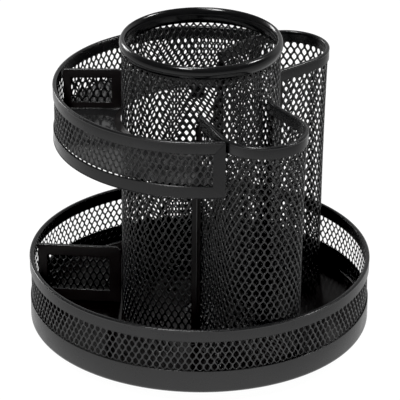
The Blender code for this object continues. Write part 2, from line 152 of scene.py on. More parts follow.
COAT = coat("powder_coat_black", tones=BLACK_TONES, rough=(0.20, 0.31), peel=0.08, speckle=0.10)
MESH = coat("powder_coat_mesh", tones=MESH_TONES, rough=(0.26, 0.38), peel=0.30,
            peel_scale=1900.0, ior=1.62, speckle=0.20)
FLOOR = coat("powder_coat_pan_floor",
             tones=((0.0064, 0.0058, 0.0059), (0.0092, 0.0084, 0.0085)),
             rough=(0.12, 0.20), peel=0.03, peel_scale=900.0, ior=1.31, speckle=0.03)
# shelf floor: a glossy coat whose tone is lighter than the black coat, a painted reflection on the
# floor
GLOSS_AND_PAINTED_REFLECTION = coat("powder_coat_shelf_floor_painted_reflection",
             tones=((0.0130, 0.0130, 0.0134), (0.0190, 0.0190, 0.0196)),
             rough=(0.09, 0.15), peel=0.02, peel_scale=900.0, ior=1.80, speckle=0.05)
TRAY_MESH = coat("powder_coat_tray_mesh", tones=MESH_TONES, rough=(0.24, 0.34), peel=0.30,
                 peel_scale=1900.0, ior=1.70, speckle=0.20)
DULL = coat("powder_coat_folded_strip",
            tones=((0.0088, 0.0078, 0.0079), (0.0128, 0.0114, 0.0115)),
            rough=(0.30, 0.42), peel=0.10, ior=1.30, speckle=0.06)
# divider frames: the black coat made lighter, painted light for the little light that reaches them
FRAME_PAINTED_LIGHT = coat("powder_coat_divider_painted_light",
             tones=((0.0145, 0.0130, 0.0132), (0.0200, 0.0180, 0.0182)),
             rough=(0.30, 0.42), peel=0.10, ior=1.30, speckle=0.04)
BAND = coat("powder_coat_flat_fold", tones=BLACK_TONES, rough=(0.20, 0.31), peel=0.08,
            ior=1.40, speckle=0.10)
# rolled rim: a darker copy of the black coat, painted shade on the rim's body; its low roughness is
# real
ROLL_PAINTED_SHADE = coat("powder_coat_rolled_rim_painted_shade",
            tones=((0.0058, 0.0058, 0.0062), (0.0088, 0.0088, 0.0092)),
            rough=(0.14, 0.21), peel=0.05, speckle=0.06)
ZINC = coat("zinc_plated_steel", tones=((0.46, 0.47, 0.48), (0.58, 0.59, 0.60)),
            rough=(0.26, 0.44), peel=0.05, peel_scale=700.0, metal=1.0)
STEEL = coat("bearing_steel", tones=((0.60, 0.60, 0.61), (0.66, 0.66, 0.67)),
             rough=(0.10, 0.16), peel=0.01, metal=1.0)
NYLON = coat("natural_nylon", tones=((0.66, 0.64, 0.58), (0.76, 0.74, 0.69)),
             rough=(0.42, 0.56), peel=0.05, peel_scale=800.0)
RUBBER = coat("black_rubber", tones=((0.018, 0.018, 0.018), (0.034, 0.034, 0.034)),
              rough=(0.72, 0.90), peel=0.25, peel_scale=1100.0)


# ---------------------------------------------------------------- mesh helpers
def add_part(name, mesh, bm, material, replaces, body, slot, angle=35.0):
    bm.to_mesh(mesh)
    bm.free()
    mesh.materials.append(material)
    ob = bpy.data.objects.new(name, mesh)
    bpy.context.scene.collection.objects.link(ob)
    mesh.shade_smooth()
    mesh.set_sharp_from_angle(angle=math.radians(angle))
    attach(ob, body)
    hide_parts(replaces)
    return ob


def make(name, verts, faces, material, replaces, body="carousel", slot="coat", angle=35.0,
         clean=True, bevel=0.0, bevel_steps=0):
    """Object from points in mm; clean welds doubles and turns the faces outwards."""
    mesh = bpy.data.meshes.new(name)
    mesh.from_pydata([tuple(v) for v in (np.asarray(verts, float) * MM)], [], faces)
    bm = bmesh.new()
    bm.from_mesh(mesh)
    if clean:
        bmesh.ops.remove_doubles(bm, verts=bm.verts, dist=1e-7)
    if bevel:
        hard = [e for e in bm.edges
                if len(e.link_faces) == 2 and e.calc_face_angle(0.0) > math.radians(38)]
        bmesh.ops.bevel(bm, geom=hard, offset=bevel * MM, offset_type="OFFSET",
                        segments=bevel_steps, profile=0.5, affect="EDGES", clamp_overlap=True)
    if clean:
        bmesh.ops.recalc_face_normals(bm, faces=bm.faces)
    return add_part(name, mesh, bm, material, replaces, body, slot, angle)


def repaint(ob, material, chosen):
    """Add a material and give it to the faces for which chosen(face) holds."""
    ob.data.materials.append(material)
    for face in ob.data.polygons:
        if chosen(face):
            face.material_index = len(ob.data.materials) - 1


def face_radius(face):
    return math.hypot(face.center.x, face.center.y) / MM


def polar(radius, angle):
    return radius * math.cos(angle), radius * math.sin(angle)


def fillet(outline, steps):
    """Round the corners of a closed outline of (x, y, corner radius)."""
    out = []
    for i, (x, y, radius) in enumerate(outline):
        corner = Vector((x, y))
        before = Vector(outline[i - 1][:2]) - corner
        after = Vector(outline[(i + 1) % len(outline)][:2]) - corner
        limit_before, limit_after = before.length * 0.49, after.length * 0.49
        before.normalize()
        after.normalize()
        half = before.angle(after) / 2
        cut = min(radius / math.tan(half), limit_before, limit_after)
        fitted = cut * math.tan(half)
        center = corner + (before + after).normalized() * (fitted / math.sin(half))
        start, end = corner + before * cut - center, corner + after * cut - center
        angle = math.atan2(start.y, start.x)
        turn = (math.atan2(end.y, end.x) - angle + math.pi) % (2 * math.pi) - math.pi
        for k in range(steps + 1):
            dx, dy = polar(fitted, angle + turn * k / steps)
            out.append((center.x + dx, center.y + dy))
    return out


def skin(stations, closed=False):
    """Verts and faces of a tube through equal rings of points; an open one is capped."""
    stations = np.asarray(stations, float)
    count, ring = stations.shape[:2]
    faces = []
    for i in range(count if closed else count - 1):
        a, b = i * ring, ((i + 1) % count) * ring
        for j in range(ring):
            k = (j + 1) % ring
            faces.append((a + j, a + k, b + k, b + j))
    if not closed:
        faces.append(tuple(range(ring)))
        faces.append(tuple(reversed(range((count - 1) * ring, count * ring))))
    return stations.reshape(-1, 3), faces


def revolve(name, profile, material, steps, replaces, **finish):
    """Ring from a closed (r, z) profile."""
    stations = [[(*polar(r, 2 * math.pi * i / steps), z) for r, z in profile]
                for i in range(steps)]
    return make(name, *skin(stations, closed=True), material, replaces, **finish)


def turned(name, profile, material, steps, replaces, center=(0, 0), **finish):
    """Solid from an open (r, z) profile whose ends lie on its axis."""
    inner = profile[1:-1]
    verts = []
    for r, z in inner:
        for i in range(steps):
            x, y = polar(r, 2 * math.pi * i / steps)
            verts.append((center[0] + x, center[1] + y, z))
    low, high = len(verts), len(verts) + 1
    verts += [(*center, profile[0][1]), (*center, profile[-1][1])]
    last = (len(inner) - 1) * steps
    faces = []
    for i in range(steps):
        k = (i + 1) % steps
        faces.append((low, k, i))
        faces.append((high, last + i, last + k))
        for a in range(0, last, steps):
            faces.append((a + i, a + k, a + steps + k, a + steps + i))
    return make(name, verts, faces, material, replaces, **finish)


# ---------------------------------------------------------------- expanded metal
# Outline of a cell, anticlockwise: columns in quarter pitches, rows in quarter rows.
OUTLINE_U = np.array([2, 2, 1, 0, -1, -2, -2, -1, 0, 1])
OUTLINE_V = np.array([-1, 1, 2, 3, 2, 1, -1, -2, -3, -2])
JITTER = 0.04                    # spread of the points
SIZE_SPREAD = 0.018              # spread of the openings' size
CROWN, KNOT_RISE = 0.17, 0.05    # strand's middle over its edges, knots over the strands


def expanded(name, surf, columns, rows, v0, replaces, pitch, row, material=MESH, closed=False,
             thick=0.72, u0=0.0, half_w=1.38, half_h=2.16, knot=0.66, inset=0.50, grow=None):
    """Expanded metal as one mesh: staggered diamond openings between crowned strands.

    surf(u, v, offset) gives points in mm; u runs right seen from outside, v runs up.
    half_w, half_h: half size of an opening; knot: half height of the knots; inset: from a
    strand's middle line to the opening; grow(u): scale of the openings along the sheet."""
    j, i = np.meshgrid(np.arange(rows), np.arange(columns), indexing="ij")
    i, j = i.ravel(), j.ravel()
    cell_u = 4 * i + 2 * (j % 2)
    grid_u = cell_u[:, None] + OUTLINE_U
    grid_v = 4 * j[:, None] + OUTLINE_V
    if closed:
        grid_u = grid_u % (4 * columns)
    # Neighbours share outline points: number them by a code, shifted to stay positive.
    code = (grid_u + 8) * 100000 + grid_v + 8
    unique, inverse = np.unique(code, return_inverse=True)
    line = inverse.reshape(code.shape)
    line_u, line_v = unique // 100000 - 8, unique % 100000 - 8
    quarter = line_v % 4
    v = v0 + np.where(quarter == 3, (line_v + 1) // 4 * row - knot,
                      np.where(quarter == 1, (line_v - 1) // 4 * row + knot,
                               (line_v - 2) // 4 * row + row / 2))
    line_count, cell_count = len(unique), len(i)
    shake = rng.normal(0, JITTER, (line_count, 3))
    u = u0 + line_u * pitch / 4 + shake[:, 0]
    v = v + shake[:, 1]
    rise = np.where(quarter == 2, 0.0, KNOT_RISE)
    lift = shake[:, 2] * 0.5

    # opening, relative to the cell's middle
    run, climb = row - 2 * knot, pitch / 2
    slant = math.hypot(run, climb)
    mid_u, mid_v = pitch / 4 - run / slant * inset, row / 2 - climb / slant * inset
    waist = knot * 0.9
    hole_u = np.array([half_w, half_w, mid_u, 0, -mid_u, -half_w, -half_w, -mid_u, 0, mid_u])
    hole_v = np.array([-waist, waist, mid_v, half_h, mid_v, waist, -waist, -mid_v, -half_h,
                       -mid_v])
    scale = 1 + rng.normal(0, SIZE_SPREAD, (cell_count, 1))
    center_u = u0 + cell_u * pitch / 4 + rng.normal(0, JITTER * 0.6, cell_count)
    center_v = v0 + j * row + rng.normal(0, JITTER * 0.6, cell_count)
    if grow:
        scale = scale * grow(center_u)[:, None]
    hole_u = (center_u[:, None] + hole_u * scale).ravel()
    hole_v = (center_v[:, None] + hole_v * scale).ravel()

    half = thick / 2
    edge = np.full(cell_count * 10, half - CROWN)
    verts = np.concatenate([
        surf(u, v, half + rise + lift), surf(hole_u, hole_v, edge),
        surf(u, v, -half - rise + lift), surf(hole_u, hole_v, -edge)])
    hole = line_count + np.arange(cell_count * 10).reshape(cell_count, 10)
    under = line_count + cell_count * 10
    line_next, hole_next = np.roll(line, -1, axis=1), np.roll(hole, -1, axis=1)
    front = np.stack([line, line_next, hole_next, hole], axis=2).reshape(-1, 4)
    back = np.stack([line, hole, hole_next, line_next], axis=2).reshape(-1, 4) + under
    wall = np.stack([hole, hole_next, hole_next + under, hole + under], axis=2).reshape(-1, 4)
    # Edges that no neighbour runs back along are the border of the sheet.
    start, end = line.ravel(), line_next.ravel()
    forward = start.astype(np.int64) * (line_count + 1) + end
    reverse = end.astype(np.int64) * (line_count + 1) + start
    border = ~np.isin(reverse, forward)
    start, end = start[border], end[border]
    rim = np.stack([end, start, start + under, end + under], axis=1)
    faces = [tuple(q) for q in np.concatenate([front, back, wall, rim]).tolist()]
    return make(name, verts, faces, material, replaces, slot="mesh", angle=80.0, clean=False)


def ring_surf(radius, start):
    """surf(u, v, offset) on an upright cylinder; u = 0 lies at the angle start."""
    def surf(u, v, off):
        angle = start + u / radius
        r = radius + off
        return np.stack([r * np.cos(angle), r * np.sin(angle), v], axis=1)
    return surf


def wall_rows(top, count_gap, fit_gap):
    """Number of rows from the tray floor up to top, and the row height that fits them."""
    foot = WALL_FOOT + 0.1
    rows = int((top - count_gap - FLOOR_Z - foot) / CELL_ROW)
    return rows, (top - fit_gap - FLOOR_Z - foot) / (rows - 1)


def smoothstep(t):
    return t * t * (3 - 2 * t)


# ---------------------------------------------------------------- rim sections, (r, z)
def rim_section(out, into, top, height, bead=0.95, wall=0.5, groove=0.10):
    """Folded rim: a flattened bead, a shallow groove under it, and a flat leg on each side.

    out, into: its outer and inner faces."""
    skirt, lip = 0.14, 0.22      # legs lie in from the bead; lower edge is chamfered
    low, neck, shoulder = top - height, top - 2 * bead + 0.45, top - 2 * bead - 0.1
    mid, half = (out + into) / 2, (out - into) / 2
    points = [(out - skirt - lip, low), (out - skirt, low + 0.3), (out - skirt, shoulder),
              (out - skirt - groove, neck)]
    for k in range(19):
        c, s = polar(1.0, math.radians(-28 + 236 * k / 18))
        points.append((mid + half * math.copysign(abs(c) ** 0.84, c),
                       top - bead + bead * (s ** 0.80 if s > 0 else s)))
    return points + [
        (into + skirt + groove, neck), (into + skirt, shoulder), (into + skirt, low + 0.3),
        (into + skirt + lip, low), (into + skirt + wall, low), (into + skirt + wall, shoulder),
        (mid, top - 2 * bead + 0.5), (out - skirt - wall, shoulder), (out - skirt - wall, low)]


def rolled_section(out, width, top, height, sheet_out, sheet_in):
    """Fat rolled rim: a tall rounded ring that closes round the sheet below."""
    half_w, half_h, power = width / 2, height / 2, 1.04
    mid = out - half_w
    points = []
    for k in range(33):
        c, s = polar(1.0, math.radians(-62 + 304 * k / 32))
        x = mid + half_w * math.copysign(abs(c) ** power, c)
        z = top - half_h + half_h * math.copysign(abs(s) ** power, s)
        # the inner half reaches further down
        points.append((x, z if x > mid else top - (top - z) * 1.26))
    return points + [(sheet_in - 0.25, top - height - 1.5), (sheet_in - 0.25, top - 2.0),
                     (sheet_out + 0.25, top - 2.0), (sheet_out + 0.25, top - height + 0.5)]


# ---------------------------------------------------------------- tray
def tray_pan():
    low = PAN_Z + 0.05
    # r, z, corner radius
    profile = fillet([
        (PAN_HOLE_R, FLOOR_Z - SHEET, 0.2), (91.5, FLOOR_Z - SHEET, 2.5), (94.6, low, 1.2),
        (PAN_R, low, 3.4), (PAN_R, PAN_BAND_TOP, 0.22), (PAN_R - 0.55, PAN_BAND_TOP, 0.2),
        (PAN_R - 0.55, FLOOR_Z, 2.4), (PAN_HOLE_R, FLOOR_Z, 0.3)], 6)
    pan = revolve("tray_pan_shell", profile, FLOOR, 224, "tray_pan", angle=50)
    repaint(pan, COAT, lambda face: not (face.normal.z > 0.6 and face_radius(face) < 98.6))


def tray_wall():
    """Strip of expanded metal whose ends lap each other at a seam."""
    columns = int(round(2 * math.pi * TRAY_MESH_R / CELL_PITCH))
    pitch = 2 * math.pi * TRAY_MESH_R / columns
    seam = math.radians(-51.5)
    lap_columns, ease_columns, lap_depth = 3, 6.0, 0.56
    ring = ring_surf(TRAY_MESH_R, seam)

    def surf(u, v, off):
        lap = np.clip((u / pitch - (columns - ease_columns)) / ease_columns, 0, 1)
        return ring(u, v, off - lap_depth * smoothstep(lap))

    expanded("tray_expanded_band", surf, columns + lap_columns, 8, 16.80, "tray_mesh",
             pitch=pitch, row=TRAY_ROW, material=TRAY_MESH, thick=0.46, half_w=1.45,
             knot=0.64, inset=0.46,
             grow=lambda u: 1.0 - 0.042 * np.sin(seam + u / TRAY_MESH_R))


tray_pan()
tray_wall()
revolve("tray_folded_rim",
        rim_section(TRAY_R, TRAY_RIM_IN_R, TRAY_TOP, TRAY_RIM_H, bead=0.85, wall=0.38,
                    groove=0.08),
        COAT, 256, "tray_rim", angle=27)


# ---------------------------------------------------------------- middle cup
def center_cup():
    radius = CUP_R - SHEET / 2
    columns = int(round(2 * math.pi * radius / CELL_PITCH))
    start = math.radians(200)
    rows, row = wall_rows(CUP_TOP, count_gap=2.6, fit_gap=5.6)
    expanded("center_cup_expanded_tube", ring_surf(radius, start), columns, rows,
             FLOOR_Z + WALL_FOOT, "center_cup_mesh", pitch=2 * math.pi * radius / columns,
             row=row, closed=True, grow=lambda u: 0.99 + 0.035 * np.sin(u / radius + start))
    # the rolled rim takes the darker coat with its painted shade
    revolve("center_cup_rolled_rim",
            rolled_section(ROLL_R, ROLL_W, CUP_TOP, ROLL_H, CUP_R, CUP_R - SHEET),
            ROLL_PAINTED_SHADE, 224, "center_cup_rim", angle=45)


center_cup()


# ---------------------------------------------------------------- lobed cups
# A lobe's plan, with x along its heading: an end arc and two straight sides to the middle cup.
def lobe_taper():
    """Angle by which each straight side closes in towards the middle cup."""
    length = LOBE_CENTER - math.sqrt(CUP_R ** 2 - LOBE_NECK ** 2)
    return (math.asin(LOBE_R / math.hypot(LOBE_NECK, length))
            - math.atan2(LOBE_NECK, length))


TAPER = lobe_taper()
ARC_START = -(math.pi / 2 + TAPER)
LINE_STEPS, ARC_STEPS = 10, 56


def lobe_side(out, side, ring):
    """Start at the end arc, inward direction, outward normal, and length to the radius ring."""
    normal = Vector((-math.sin(TAPER), side * math.cos(TAPER)))
    inward = Vector((-math.cos(TAPER), -side * math.sin(TAPER)))
    start = Vector((LOBE_CENTER, 0)) + normal * (LOBE_R + out)
    b = start.dot(inward)
    length = -b - math.sqrt(b * b - (start.dot(start) - ring * ring))
    return start, inward, normal, length


def lobe_path(heading, out, ring=SEAT_R, arc_steps=ARC_STEPS, line_steps=LINE_STEPS):
    """Points along a lobe's plan, offset outwards by out."""
    ahead = Vector(polar(1.0, math.radians(heading)))
    across = Vector((-ahead.y, ahead.x))
    lines = []
    for side in (-1, 1):
        start, inward, _, length = lobe_side(out, side, ring)
        end = start + inward * length
        lines.append([end.lerp(start, i / line_steps) for i in range(line_steps)])
    arc = []
    for i in range(arc_steps + 1):
        x, y = polar(LOBE_R + out, ARC_START - 2 * ARC_START * i / arc_steps)
        arc.append(Vector((LOBE_CENTER + x, y)))
    return [ahead * p.x + across * p.y for p in lines[0] + arc + list(reversed(lines[1]))]


def lean(heading, s, length, side):
    """How far the wall leans out at its rim, at the distance s along it; side: straight part."""
    s = np.asarray(s, float)
    share = smoothstep(np.clip(np.minimum(s, length - s) / side, 0, 1))
    if heading == BACK_DIR:
        return 1.75 * share * (1 - 0.5 * smoothstep(np.clip((s / length - 0.42) / 0.25, 0, 1)))
    return 1.6 * share


def lobe_surf(heading, out):
    """surf(s, z, offset) along a lobe's wall, and the wall's length."""
    ux, uy = polar(1.0, math.radians(heading))
    start1, in1, normal1, length1 = lobe_side(out, -1, SEAT_R)
    start2, in2, normal2, length2 = lobe_side(out, 1, SEAT_R)
    radius = LOBE_R + out
    arc = radius * (-2 * ARC_START)
    total = length1 + arc + length2
    foot = start1 + in1 * length1

    def surf(s, z, off):
        height = np.clip((z - FLOOR_Z) / (RIM_TOP - 4 - FLOOR_Z), 0, 1)
        off = off + lean(heading, s, total, length1) * height ** 2.5
        on_first, on_arc = s < length1, s <= length1 + arc
        angle = ARC_START + (s - length1) / radius
        past = s - length1 - arc
        x = np.where(on_first, foot.x - in1.x * s + normal1.x * off,
                     np.where(on_arc, LOBE_CENTER + (radius + off) * np.cos(angle),
                              start2.x + in2.x * past + normal2.x * off))
        y = np.where(on_first, foot.y - in1.y * s + normal1.y * off,
                     np.where(on_arc, (radius + off) * np.sin(angle),
                              start2.y + in2.y * past + normal2.y * off))
        return np.stack([ux * x - uy * y, uy * x + ux * y, z], axis=1)
    return surf, total


def lobe_rim(prefix, heading):
    side = lobe_side(0, -1, SEAT_R)[3]
    arc = LOBE_R * (math.pi + 2 * TAPER)
    along = [side * i / LINE_STEPS for i in range(LINE_STEPS)]
    along += [side + arc * i / ARC_STEPS for i in range(ARC_STEPS + 1)]
    along += [side + arc + side * i / LINE_STEPS for i in range(1, LINE_STEPS + 1)]
    leans = lean(heading, along, 2 * side + arc, side)
    profile = rim_section(SHEET, SHEET - RIM_W, RIM_TOP, RIM_H)
    reach = 2.0                  # each point moves towards the path this much further out
    lines = {}
    for out, _ in profile:
        near, far = lobe_path(heading, out), lobe_path(heading, out + reach)
        lines[out] = [p.lerp(q, w / reach) for p, q, w in zip(near, far, leans)]
    stations = [[(*lines[out][i], z) for out, z in profile] for i in range(len(along))]
    make(prefix + "_folded_rim", *skin(stations), COAT, prefix + "_rim", angle=27)


def angle_strip(name, heading, side, replaces):
    """Angle strip up the corner between a lobe's wall and the middle cup."""
    thick, leg, wrap_steps = 0.5, 4.6, 8
    inner, outer = (lobe_path(heading, out, CUP_R + out, arc_steps=24, line_steps=12)
                    for out in (SEAT_GAP, SEAT_GAP + thick))
    end, following = (0, 1) if side < 0 else (-1, -2)
    inner_fold, outer_fold = inner[end], outer[end]
    inner_angle = math.atan2(inner_fold.y, inner_fold.x)
    outer_angle = math.atan2(outer_fold.y, outer_fold.x)

    def along(line, distance):
        return line[end] + (line[following] - line[end]).normalized() * distance

    def on_cup(angle, wrap, gap, i):
        turned_angle = angle + side * wrap / CUP_R * i / wrap_steps
        return Vector(polar(1.0, turned_angle)) * (CUP_R + gap)

    def outline(wrap):
        """Closed section; the leg on the middle cup is wrap long."""
        outer_wrap = max(0.2, wrap - abs(outer_angle - inner_angle) * CUP_R)
        points = [along(inner, leg * (1 - k / 6)) for k in range(6)] + [inner_fold]
        points += [on_cup(inner_angle, wrap, SEAT_GAP, i) for i in range(1, wrap_steps + 1)]
        points += [on_cup(outer_angle, outer_wrap, SEAT_GAP + thick, i)
                   for i in range(wrap_steps, 0, -1)]
        return points + [outer_fold] + [along(outer, leg * k / 6) for k in range(1, 7)]

    levels = [FLOOR_Z + 0.3, 30, 50, 70, 90, 110, 121.0, 126.0, 129.0, 134.0, 142.0,
              RIM_TOP - RIM_H + 0.4]
    stations = []
    for z in levels:
        # the leg narrows at the level of the shelf
        wrap = 3.3 if z < 122 else (2.6 if z < 127 else 1.3)
        stations.append([(p.x, p.y, z) for p in outline(wrap)])
    strip = make(name, *skin(stations), DULL, replaces, angle=32, bevel=0.16, bevel_steps=3)
    repaint(strip, COAT, lambda face: math.hypot(face.center.x / MM - outer_fold.x,
                                                 face.center.y / MM - outer_fold.y) < 0.42)


def lobed_cup(prefix, heading, **opening):
    surf, length = lobe_surf(heading, -SHEET / 2)
    margin = 0.5                 # left clear at each end of the wall
    span = length - 2 * margin
    columns = int(span / CELL_PITCH)
    pitch = span / (columns + 0.5)
    rows, row = wall_rows(RIM_TOP, count_gap=2.4, fit_gap=5.2)
    expanded(prefix + "_expanded_wall", surf, columns, rows, FLOOR_Z + WALL_FOOT,
             prefix + "_mesh", pitch=pitch, row=row, u0=margin + pitch / 2, **opening)
    lobe_rim(prefix, heading)
    for side, label in ((-1, "a"), (1, "b")):
        angle_strip(f"{prefix}_angle_strip_{label}", heading, side, f"{prefix}_strip_{label}")


lobed_cup("front_cup", FRONT_DIR, half_w=1.52, half_h=2.27, inset=0.42, knot=0.64)
lobed_cup("back_cup", BACK_DIR, half_w=1.34, half_h=2.24, inset=0.50, knot=0.62)


# ---------------------------------------------------------------- shelf
def shelf_angles(radius, front_gap=FRONT_GAP, back_gap=BACK_GAP):
    """Angles at a radius where the shelf starts (back cup) and ends (front cup)."""
    out = []
    for heading, side, gap in ((BACK_DIR, 1, back_gap), (FRONT_DIR, -1, front_gap)):
        distance = LOBE_R + gap - LOBE_CENTER * math.sin(TAPER)
        normal = math.radians(heading) + side * (math.pi / 2 + TAPER)
        out.append(normal - side * math.acos(max(-1.0, min(1.0, distance / radius))))
    return out[0], out[1] + 2 * math.pi


def shelf_angle(radius, share):
    start, end = shelf_angles(radius)
    return start + (end - start) * share


def shelf_sweep(name, profile, material, replaces):
    steps = 150
    stations = [[(*polar(r, shelf_angle(r, i / steps)), z) for r, z in profile]
                for i in range(steps + 1)]
    make(name, *skin(stations), material, replaces, angle=27)


def shelf_floor():
    """Plate that rises in a flared collar round the middle cup, with a tab bent down at the back."""
    steps, thick = 180, 0.7
    out_r = SHELF_MESH_R - SHEET - 0.3
    lip = SEAT_R + 0.45
    collar_w, collar_h = 8.0, 3.4
    radii = [SEAT_R, lip] + [lip + 0.8 * k for k in range(1, 11)]
    radii += [56.0, 60.0, 65.0, 70.0, 75.0, 80.0, out_r - 0.2, out_r]

    def top(r):
        """Collar near the middle, then a faint wave."""
        rise = max(0.0, 1.0 - (r - SEAT_R) / collar_w)
        wave = 0.16 * math.sin((r - 52.0) / 9.0) if r > 54 else 0.0
        return (SHELF_FLOOR_Z + collar_h * rise * rise
                + wave * min(1.0, max(0.0, r - 54.0) / 6.0))

    stations = []
    for i in range(steps + 1):
        share = i / steps
        # the inner edge steps outwards near both ends
        jog = 0.9 * max(0.0, 1 - max(0.0, min(share, 1 - share) * steps - 4) / 3)
        upper = []
        for k, r in enumerate(radii):
            moved = max(r, SEAT_R + jog + 0.02 * k)
            angle = shelf_angle(moved, share)
            upper.append((*polar(moved, angle), top(r)))
            if k == 0:
                inner_angle = math.degrees(angle) % 360
        under = [(x, y, z - thick) for x, y, z in upper]
        if TAB_FROM < inner_angle < TAB_TO:
            under[:2] = [(x, y, TAB_LOW) for x, y, _ in under[:2]]
        stations.append(under + upper[::-1])
    # the top takes the lighter glossy coat with its painted reflection
    plate = make("shelf_floor_pressing", *skin(stations), GLOSS_AND_PAINTED_REFLECTION, "shelf_floor", angle=40)
    repaint(plate, COAT, lambda face: face.normal.z < 0.3)
    repaint(plate, DULL,
            lambda face: face.normal.z >= 0.3 and face_radius(face) < SEAT_R + 4.0)


def shelf_band():
    """Rim section upside down, its inner leg lowered to pass under the floor."""
    section = rim_section(SHELF_R, SHELF_R - RIM_W, -SHELF_BOTTOM,
                          SHELF_BAND_TOP + 0.42 - SHELF_BOTTOM, bead=0.5)
    band = []
    for r, z in section:
        lowered = r < SHELF_MESH_R - SHEET and -z > SHELF_BAND_TOP - 0.5
        band.append((r, -z - 0.62 if lowered else -z))
    shelf_sweep("shelf_folded_band", band, BAND, "shelf_band")


def shelf_wall():
    radius = SHELF_MESH_R - SHEET / 2
    start, end = shelf_angles(radius, front_gap=3.3, back_gap=2.6)
    length = (end - start) * radius
    columns = int(length / CELL_PITCH)
    pitch = length / (columns + 0.5)
    expanded("shelf_expanded_wall", ring_surf(radius, start), columns, 7, 128.85,
             "shelf_mesh", pitch=pitch, row=3.55, u0=pitch / 2, half_h=2.12)


def end_strip(which):
    """Upright strip that closes an end of the wall: mitred, and folded in over the edge."""
    face_r, back_r, fold_r = SHELF_R + 0.10, SHELF_R - 0.06, SHELF_MESH_R - 1.5
    width, mitre, fold_thick, steps = 6.9, 6.4, 0.22, 14
    bottom, top = SHELF_BOTTOM + 0.5, RIM_TOP - 0.9
    name, replaces = f"shelf_end_strip_{which}_fold", f"shelf_end_strip_{which}"

    def at(r, distance):
        """Point at a distance along the arc from the shelf's end."""
        start, end = shelf_angles(r, FRONT_GAP - 0.25, BACK_GAP - 0.25)
        return polar(r, end - distance / r if which == "front" else start + distance / r)

    stations = []
    for i in range(steps + 1):
        distance = width * i / steps
        low, high = bottom + min(distance, mitre), top - min(distance, mitre)
        face, back = at(face_r, distance), at(back_r, distance)
        stations.append([(*face, low), (*face, high), (*back, high), (*back, low)])
    make(name, *skin(stations), BAND, replaces, angle=32)
    corners = [at(face_r, 0.0), at(face_r, fold_thick), at(fold_r, fold_thick), at(fold_r, 0.0)]
    stations = [[(*corner, z) for corner in corners] for z in np.linspace(bottom, top, 4)]
    make(name + "_edge", *skin(stations), COAT, replaces, angle=32)


shelf_floor()
shelf_band()
shelf_wall()
shelf_sweep("shelf_folded_rim", rim_section(SHELF_R, SHELF_R - RIM_W, RIM_TOP, RIM_H), COAT,
            "shelf_rim")
end_strip("front")
end_strip("back")

# ---------------------------------------------------------------- dividers
# Upright panels on the left, between the middle cup and the outer wall.
DIVIDER_THICK = 2.0
SHELF_DIVIDER_Y = 19.0


def turn_clockwise(x, y, degrees):
    c, s = polar(1.0, math.radians(degrees))
    return x * c + y * s, y * c - x * s


def frame_panel(name, outer, inner, y, turn, replaces):
    """Flat frame between two (x, z) outlines of equal count."""
    count = len(outer)
    verts = []
    for face_y in (y - DIVIDER_THICK / 2, y + DIVIDER_THICK / 2):
        verts += [(*turn_clockwise(x, face_y, turn), z) for x, z in outer + inner]
    front_out, front_in, back_out, back_in = (count * k for k in range(4))
    faces = []
    for i in range(count):
        k = (i + 1) % count
        faces += [(front_out + i, front_out + k, front_in + k, front_in + i),
                  (back_out + k, back_out + i, back_in + i, back_in + k),
                  (front_out + k, front_out + i, back_out + i, back_out + k),
                  (front_in + i, front_in + k, back_in + k, back_in + i)]
    # the frame takes the lighter coat with its painted light; its top keeps the black coat
    frame = make(name, verts, faces, FRAME_PAINTED_LIGHT, replaces, angle=40, bevel=0.86, bevel_steps=5)
    top = max(z for _, z in outer) * MM
    repaint(frame, COAT, lambda face: face.center.z > top - 0.0009 or face.normal.z > 0.5)


def divider(prefix, x0, x1, z0, z1, y, foot, low_band, wall_band, cup_band, top_band, turn):
    """Frame and its sheet. foot: cut of the lower outer corner; bands: widths of the frame."""
    in_x0, in_x1, in_z0, in_z1 = x0 + wall_band, x1 - cup_band, z0 + low_band, z1 - top_band
    outer = [(x0 + foot, z0), (x1, z0), (x1, z1 - 2.2), (x1 - 2.6, z1), (x0, z1),
             (x0, z0 + foot + 0.6)]
    inner = [(in_x0, in_z0), (in_x1, in_z0), (in_x1, in_z1 - 0.6), (in_x1 - 0.6, in_z1),
             (in_x0, in_z1), (in_x0, in_z0 + 1.0)]
    frame_panel(prefix + "_folded_frame", outer, inner, y, turn, prefix + "_frame")

    # the sheet reaches in under the frame
    left, low = in_x0 - 2.2, in_z0 - 2.0
    width, height = in_x1 + 2.2 - left, in_z1 + 2.0 - low
    columns, rows = int(width / CELL_PITCH), max(3, int((height - 2.0) / CELL_ROW))
    pitch = width / (columns + 0.5)

    def surf(u, v, off):
        return np.stack([*turn_clockwise(left + u, y - off, turn), v], axis=1)

    expanded(prefix + "_expanded_panel", surf, columns, rows, low + 2.6, prefix + "_mesh",
             pitch=pitch, row=(height - 5.2) / (rows - 1), u0=pitch / 2)


divider("tray_divider", x0=-96.2, x1=-47.0, z0=FLOOR_Z + 0.3, z1=TRAY_TOP - 0.9, y=1.8,
        foot=3.0, low_band=7.8, wall_band=5.7, cup_band=6.6, top_band=7.0, turn=5.0)
divider("shelf_divider",
        x0=-math.sqrt((SHELF_R - RIM_W - 0.4) ** 2 - (SHELF_DIVIDER_Y + DIVIDER_THICK / 2) ** 2),
        x1=-44.5, z0=SHELF_FLOOR_Z + 0.8, z1=RIM_TOP - 0.7, y=SHELF_DIVIDER_Y,
        foot=0.0, low_band=3.8, wall_band=4.6, cup_band=7.2, top_band=5.4, turn=0.0)

# ---------------------------------------------------------------- swivel
RACE_R, BALL_R, BALL_Z, BALLS = 38.0, 1.6, 5.6, 12
RIVET_RING_R, FOOT_RING_R = 30, 50.0
CAGE_HALF_W, CAGE_BOTTOM, CAGE_TOP, POCKET_R = 3.2, 5.2, 6.0, 1.9

